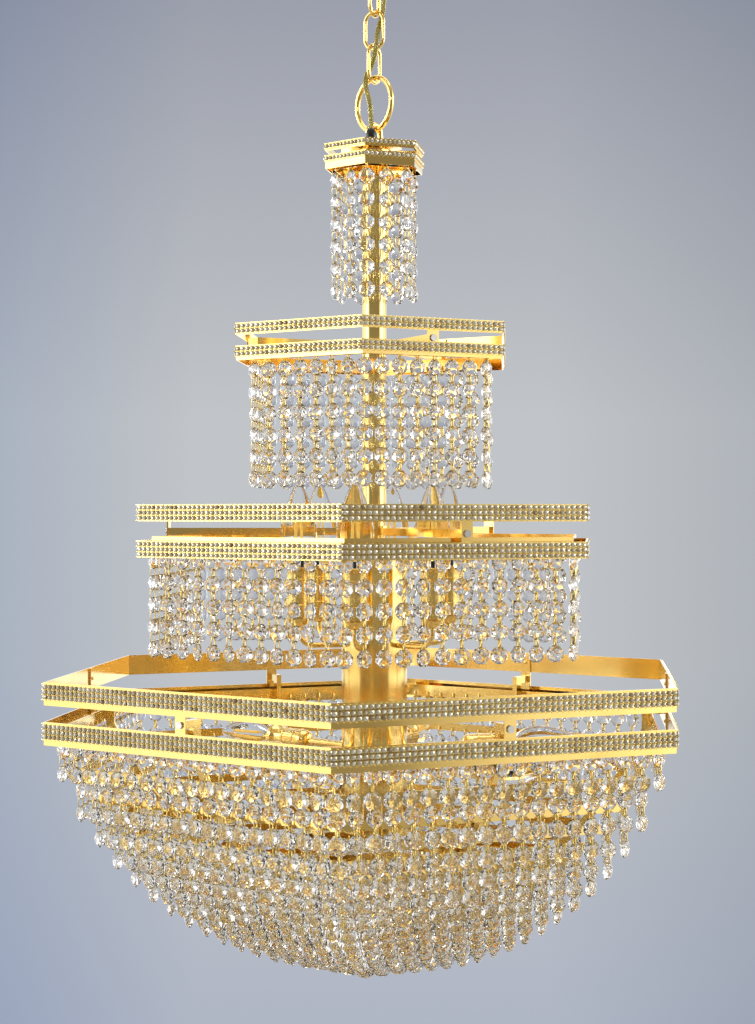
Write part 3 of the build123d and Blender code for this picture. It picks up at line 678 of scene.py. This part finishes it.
def cup_outline(length, rim_radius, rim_length):
    """A cup: rounded foot, straight barrel with two turned rings, and a rim."""
    outline = [(0, 0), (4, 0.1), (7.5, 1.4), (9.6, 3.8), (10.8, 7.2), (11, 10)]
    for ring in TURNED_RINGS:
        height = 10 + (length - rim_length - 12) * ring
        outline += [(11, height), (11.6, height + 0.5), (11.6, height + 1.4), (11, height + 1.9)]
    outline += [(11, length - rim_length), (rim_radius - 0.8, length - rim_length * 0.45),
                (rim_radius, length - rim_length * 0.3), (rim_radius, length - 0.5),
                (rim_radius - 0.5, length), (10, length), (10, 8), (0, 8)]
    return outline


def sleeve_outline(length):
    """The black sleeve of a socket, down to the floor of its cup."""
    top = length + STAND_OUT
    return [(0, 8.1), (9.4, 8.1), (9.4, top - 0.8), (8.9, top), (7.4, top), (7.4, top - SOCKET_DEPTH),
            (0, top - SOCKET_DEPTH)]


def lamp_places(upper):
    """A matrix and a foot for each lamp of one set."""
    places = []
    for n in range(LAMPS):
        angle = LAMP_TURN + 360 / LAMPS * n
        out, along, up = bearing(angle, 1), bearing(angle + 90, 1), np.array([0, 0, 1.0])
        if upper:
            places.append((np.array([out, -along, up]).T @ np.diag([1, -1, 1]),
                           bearing(angle, UPPER_REACH, UPPER_FOOT)))
        else:
            places.append((np.array([up, along, out]).T @ np.diag([1, -1, 1]),
                           bearing(angle, LOWER_REACH, LOWER_AXIS)))
    return places


# %% Cups, sleeves and bulbs
FILAMENTS, FILAMENT_RADIUS, SUPPORT_RADIUS = 4, 0.75, 0.25
FILAMENT_RING, FILAMENT_LOW, FILAMENT_HIGH = 3.6, 18.0, 50.0
FILAMENT_CLOSE = 0.55


def bulb_inside():
    """The filaments of one bulb, and the wires that hold them."""
    sticks, supports = [], []
    close = FILAMENT_RING * FILAMENT_CLOSE
    for n in range(FILAMENTS):
        turn = 2 * math.pi / FILAMENTS * (n + 0.5)
        foot = (FILAMENT_RING * math.cos(turn), FILAMENT_RING * math.sin(turn), FILAMENT_LOW)
        tip = (close * math.cos(turn), close * math.sin(turn), FILAMENT_HIGH)
        sticks.append(wire([foot, tip], FILAMENT_RADIUS, 6))
        supports.append(wire([(foot[0] * 0.5, foot[1] * 0.5, 8), foot], SUPPORT_RADIUS, 4))
        supports.append(wire([tip, (0, 0, FILAMENT_HIGH + 2)], SUPPORT_RADIUS, 4))
    return sticks, supports


def moved(shape, lift):
    """A shape moved along z."""
    return [(x, y, z + lift) for x, y, z in shape[0]], shape[1]


def joined(shapes):
    """Several shapes as one."""
    points, faces = [], []
    for shape in shapes:
        gather(points, faces, shape)
    return np.concatenate(points), faces


for row, upper, length, rim_radius, rim_length in (("upper", True, UPPER_LENGTH, 12.5, 2.5),
                                                   ("lower", False, LOWER_LENGTH, 15.0, 12.0)):
    places = lamp_places(upper)
    cup = lathe(cup_outline(length, rim_radius, rim_length))
    cups = piece(f"{row}_turned_cups", repeat(cup, places), brass, "frame", smooth=True)
    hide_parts(f"{row}_cups")
    sleeves = piece(f"{row}_sleeves", repeat(lathe(sleeve_outline(length)), places), black, "frame",
                    smooth=True)
    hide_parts(f"{row}_sockets")
    for obj in (cups, sleeves):
        obj.data.set_sharp_from_angle(angle=SHARP_EDGE)
    sticks, supports = bulb_inside()
    base = [lathe(CAP_OUTLINE), lathe(STEM_OUTLINE, 16)] + supports
    seat = length + STAND_OUT
    for number, place in enumerate(places, 1):
        body = f"{row}_bulb_{number}"
        shell = piece(f"{body}_glass", repeat(moved(lathe(BULB_OUTLINE), seat), [place]), bulb_glass,
                      body, smooth=True)
        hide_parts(body)
        piece(f"{body}_filaments", repeat(moved(joined(sticks), seat), [place]), filament, body)
        piece(f"{body}_cap", repeat(moved(joined(base), seat), [place]), gilt, body,
              smooth=True)

# %% [markdown]
# ## Gland and rivets
# The cord goes into the crown through a dark tapered gland. The straps that join two bands are riveted
# to each of them: the heads are on the inside, where the camera sees them on the far bands.

# %% Gland and rivets
GLAND_PLACE = (-3.0, -17.0)
GLAND_OUTLINE = ((0, 0), (6.5, 0), (6.5, 2.4), (6.1, 3.2), (5.7, 3.6), (5.4, 6.0), (4.2, 10.4),
                 (3.4, 11.6), (2.9, 12), (0, 12))
RIVET_OUTLINE = ((2.1, 0), (2.0, 0.5), (1.4, 1.0), (0, 1.3))
BAND_THICKNESS, STRAP_THICKNESS = 1.2, 1.5
gland_foot = np.array([*GLAND_PLACE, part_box("cord_gland")[0].z / MM])
gland = piece("tapered_gland", repeat(lathe(GLAND_OUTLINE), [(np.eye(3), gland_foot)]), black, "frame",
              smooth=True)
gland.data.set_sharp_from_angle(angle=SHARP_EDGE)
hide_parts("cord_gland")
rivets = []
for tier in TIERS[1:]:
    inner = tier.corner * math.cos(HALF_CORNER) - BAND_THICKNESS - STRAP_THICKNESS
    for offset in tier.straps:
        angle = tier.turn + offset
        inwards = np.array([bearing(angle + 90, 1), [0, 0, 1.0], bearing(angle, -1)]).T
        for band in ("upper", "lower"):
            low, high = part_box(f"{tier.name}_{band}_band")
            rivets.append((inwards, bearing(angle, inner, (low.z + high.z) / 2 / MM)))
piece("strap_rivets", repeat(lathe(RIVET_OUTLINE, 12), rivets), column_brass, "frame",
      smooth=True)

# %% [markdown]
# ## The supply cord
# A clear olive cord with two twisted copper cores climbs from the gland on the crown, through the lower
# link and past the others, to the terminal block under the ceiling. It is held at both ends. Its route
# is a list of given points, used as the control points of a smooth spline. The cores follow points read
# back from that spline.

# %% Cord
CORD_DIAMETER = 5.0
CORD_ROUTE = (
    (-3.0, -17.0, -199.0), (-3.0, -17.0, -187.5), (-4.5, -13.5, -172.0), (-8.5, -7.0, -158.0),
    (-8.5, -1.2, -146.5), (-1.5, -2.5, -134.5), (2.0, -9.3, -120.5), (3.0, -4.0, -103.5),
    (7.8, 4.0, -88.0), (9.5, 2.5, -70.0), (12.0, 5.5, -53.0), (12.3, 6.0, -38.0), (20.0, 4.0, -26.0),
    (20.0, 4.0, -14.5))
CORE_RADIUS, CORE_OFFSET, CORE_PITCH = 0.95, 1.1, 60.0


def spline_curve(name, route, radius):
    """A round cord on a smooth spline."""
    curve = bpy.data.curves.new(name, "CURVE")
    curve.dimensions = "3D"
    curve.bevel_depth = radius * MM
    curve.bevel_resolution = 5
    curve.use_fill_caps = True
    spline = curve.splines.new("NURBS")
    spline.points.add(len(route) - 1)
    for point, place in zip(spline.points, route):
        point.co = (place[0] * MM, place[1] * MM, place[2] * MM, 1)
    spline.order_u = 3
    spline.use_endpoint_u = True
    spline.resolution_u = 12
    obj = bpy.data.objects.new(name, curve)
    bpy.context.scene.collection.objects.link(obj)
    return obj


cord = spline_curve("cord_sheath", CORD_ROUTE, CORD_DIAMETER / 2)
cord.data.materials.append(sheath)
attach(cord, "middle_link")
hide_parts("supply_cord")
guide = spline_curve("guide", CORD_ROUTE, 0.0)
line_mesh = bpy.data.meshes.new_from_object(guide.evaluated_get(bpy.context.evaluated_depsgraph_get()))
line = [Vector(vertex.co) / MM for vertex in line_mesh.vertices]
bpy.data.objects.remove(guide)
cores = []
for half in (0, math.pi):
    path, travelled = [], 0.0
    for n, point in enumerate(line):
        ahead = (line[min(n + 1, len(line) - 1)] - line[max(n - 1, 0)]).normalized()
        side = ahead.cross(Vector((0, 1, 0))).normalized()
        travelled += (point - line[n - 1]).length if n else 0.0
        turn = 2 * math.pi * travelled / CORE_PITCH + half
        path.append(point + (side * math.cos(turn) + ahead.cross(side) * math.sin(turn)) * CORE_OFFSET)
    cores.append(wire(path, CORE_RADIUS, 6))
core_piece = piece("cord_cores", joined(cores), copper, "middle_link", smooth=True)


# %% [markdown]
# ## Room and light
# Cut glass shows its room. A grey-blue backdrop gives the facets something even to bend, and a few soft
# panels give them edges. The backdrop glows in its own colour to the camera, in mirrors and through
# glass, by the kind of ray that reaches it, so no extra light is needed to keep it pale. In mirrors it
# is brighter, or polished brass would look dull. A ray bent by glass counts as mirrored as well, so
# those are taken off again. The two window panels aren't seen through glass, where they would burn out.
#
# The backdrop and the floor are clear from behind, so the chandelier can be seen from every side.

# %% Backdrop and floor
BACKDROP = (0.535, 0.555, 0.578)
MIRRORED_BACKDROP = 2.6
ACROSS_SPAN, UPRIGHT_SPAN = (-0.7, 0.7), (-1.0, 0.9)
# Painted shade on the backdrop: its glow is full in the middle and darker and bluer towards the left, the
# right, the bottom and most of all the top.
ACROSS_PAINTED_SHADE = ((0.0, (0.74, 0.80, 0.92)), (0.27, (1, 1, 1)), (0.72, (1, 1, 1)),
                 (1.0, (0.80, 0.82, 0.85)))
UPRIGHT_PAINTED_SHADE = ((0.0, (0.80, 0.84, 0.96)), (0.35, (1, 1, 1)), (0.58, (1, 1, 1)),
                  (1.0, (0.60, 0.61, 0.70)))


def stage_plane(name, width, height, place, upright, material):
    """A flat stage piece."""
    points = [(-width / 2, -height / 2), (width / 2, -height / 2), (width / 2, height / 2),
              (-width / 2, height / 2)]
    mesh = bpy.data.meshes.new(name)
    mesh.from_pydata([(x, 0, y) if upright else (x, y, 0) for x, y in points], [], [[0, 1, 2, 3]])
    mesh.materials.append(material)
    obj = bpy.data.objects.new(name, mesh)
    obj.location = place
    bpy.context.scene.collection.objects.link(obj)


def show_one_of(tree, factor, first, second):
    """The surface of a material: one shader where the factor is 0, another where it is 1."""
    node = tree.nodes.new("ShaderNodeMixShader")
    for value, socket in zip((factor, first, second), node.inputs):
        tree.links.new(value, socket)
    tree.links.new(node.outputs["Shader"], tree.nodes["Material Output"].inputs["Surface"])


def clear_from_behind(material):
    """Make a stage piece clear from its back."""
    tree = material.node_tree
    front = tree.nodes["Material Output"].inputs["Surface"].links[0].from_socket
    back = tree.nodes.new("ShaderNodeBsdfTransparent").outputs["BSDF"]
    backfacing = tree.nodes.new("ShaderNodeNewGeometry").outputs["Backfacing"]
    show_one_of(tree, backfacing, front, back)


backdrop, tree, shader = new_material("backdrop_paint")
shader.inputs["Base Color"].default_value = (*BACKDROP, 1)
shader.inputs["Roughness"].default_value = 0.9
spot = tree.nodes.new("ShaderNodeSeparateXYZ")
tree.links.new(tree.nodes.new("ShaderNodeTexCoord").outputs["Object"], spot.inputs["Vector"])
shade = (*BACKDROP, 1)
# Painted shade: the backdrop's glow is multiplied down towards its edges.
for axis, span, stops in (("X", ACROSS_SPAN, ACROSS_PAINTED_SHADE), ("Z", UPRIGHT_SPAN, UPRIGHT_PAINTED_SHADE)):
    ramp = colour_ramp(tree, remap(tree, spot.outputs[axis], *span, 0.0, 1.0), stops)
    shade = blend_colours(tree, 1.0, shade, ramp, "MULTIPLY")
glow = tree.nodes.new("ShaderNodeEmission")
tree.links.new(shade, glow.inputs["Color"])
rays = tree.nodes.new("ShaderNodeLightPath")
glossy, bent = rays.outputs["Is Glossy Ray"], rays.outputs["Is Transmission Ray"]
mirrored = calculate(tree, "SUBTRACT", glossy, bent)
tree.links.new(remap(tree, mirrored, 0.0, 1.0, 1.0, MIRRORED_BACKDROP), glow.inputs["Strength"])
seen = calculate(tree, "MAXIMUM", glossy, bent)
seen = calculate(tree, "MAXIMUM", seen, rays.outputs["Is Camera Ray"])
show_one_of(tree, seen, shader.outputs["BSDF"], glow.outputs["Emission"])
floor_paint = plain("floor_paint", (0.62, 0.61, 0.59), 0.7)
for material in (backdrop, floor_paint):
    clear_from_behind(material)
stage_plane("backdrop", 3.6, 4.0, (0, 1.6, -0.5), True, backdrop)
stage_plane("floor", 6.0, 6.0, (0, 0, -2.2), False, floor_paint)


# %% Lights
LIGHTS_AIM = (0, 0, -0.6)


def panel(name, place, width, height, power, colour=(1, 1, 1), through_glass=True):
    """A soft panel of light that looks at the middle of the chandelier."""
    lamp = bpy.data.lights.new(name, "AREA")
    lamp.shape = "RECTANGLE"
    lamp.size, lamp.size_y, lamp.energy, lamp.color = width, height, power, colour
    obj = bpy.data.objects.new(name, lamp)
    obj.location = place
    obj.rotation_euler = (Vector(LIGHTS_AIM) - Vector(place)).to_track_quat("-Z", "Y").to_euler()
    obj.visible_transmission = through_glass
    bpy.context.scene.collection.objects.link(obj)


panel("left_window", (-2.1, -0.7, 0.1), 1.1, 1.8, 13, (0.99, 0.99, 1.0), through_glass=False)
panel("right_window", (2.1, -0.5, 0.1), 1.1, 1.8, 14, (1.0, 0.98, 0.94), through_glass=False)
panel("left_spark", (-1.6, 0.9, 0.3), 0.4, 0.6, 8)
panel("right_spark", (1.7, 0.5, 0.2), 0.3, 0.6, 6)
panel("front_spark", (-0.9, -2.4, 0.5), 0.25, 0.25, 5)
panel("ceiling_glow", (0, 0.2, 0.9), 1.2, 1.2, 8)

# %% [markdown]
# The rest of the room is the world itself: pale walls at both sides, a dimmer front and ceiling. The
# brightness follows the direction that a ray leaves in, so brass shows two bright stripes with a dark
# middle, and every facet of a bead finds something bright or dark. Through glass the side walls are a
# little dimmer. Where the camera looks past the backdrop, it sees an even grey.

# %% World
world = bpy.data.worlds.new("room")
bpy.context.scene.world = world
world.use_nodes = True
room = world.node_tree
sky = room.nodes["Background"]
WINDOWED, BACK_WALL, CEILING, DIM_FRONT = 1.6, 0.75, 0.40, 0.27
SEEN_THROUGH_GLASS, SEEN_DIRECTLY = 0.8, 0.5
WINDOW_EDGES, SILL_EDGES, UNDER_SILL = (0.74, 0.82), (-0.40, -0.18), 0.25
BACK_EDGES, CEILING_EDGES, TINT_EDGES = (0.10, 0.60), (0.45, 0.9), (0.70, 0.82)
WARM, PALE = (1.0, 0.93, 0.80, 1), (1.0, 0.99, 0.97, 1)
parts = room.nodes.new("ShaderNodeSeparateXYZ")
room.links.new(room.nodes.new("ShaderNodeTexCoord").outputs["Generated"], parts.inputs["Vector"])
rays = room.nodes.new("ShaderNodeLightPath")
bent, direct = rays.outputs["Is Transmission Ray"], rays.outputs["Is Camera Ray"]
sideways = calculate(room, "ABSOLUTE", parts.outputs["X"], 0.0)
windowed = remap(room, sideways, *WINDOW_EDGES, 0.0, WINDOWED - DIM_FRONT)
for factor in (remap(room, parts.outputs["Z"], *SILL_EDGES, UNDER_SILL, 1.0),
               remap(room, bent, 0.0, 1.0, 1.0, SEEN_THROUGH_GLASS)):
    windowed = calculate(room, "MULTIPLY", windowed, factor)
behind = remap(room, parts.outputs["Y"], *BACK_EDGES, 0.0, BACK_WALL - DIM_FRONT)
above = remap(room, parts.outputs["Z"], *CEILING_EDGES, 0.0, CEILING)
level = calculate(room, "MAXIMUM", windowed, behind)
level = calculate(room, "ADD", calculate(room, "ADD", level, above), DIM_FRONT)
level = calculate(room, "MULTIPLY", level, remap(room, direct, 0.0, 1.0, 1.0, 0.0))
level = calculate(room, "ADD", level, remap(room, direct, 0.0, 1.0, 0.0, SEEN_DIRECTLY))
room.links.new(level, sky.inputs["Strength"])
tint = remap(room, sideways, *TINT_EDGES, 0.0, 1.0)
room.links.new(blend_colours(room, tint, WARM, PALE), sky.inputs["Color"])
bpy.context.scene.view_settings.view_transform = "Standard"
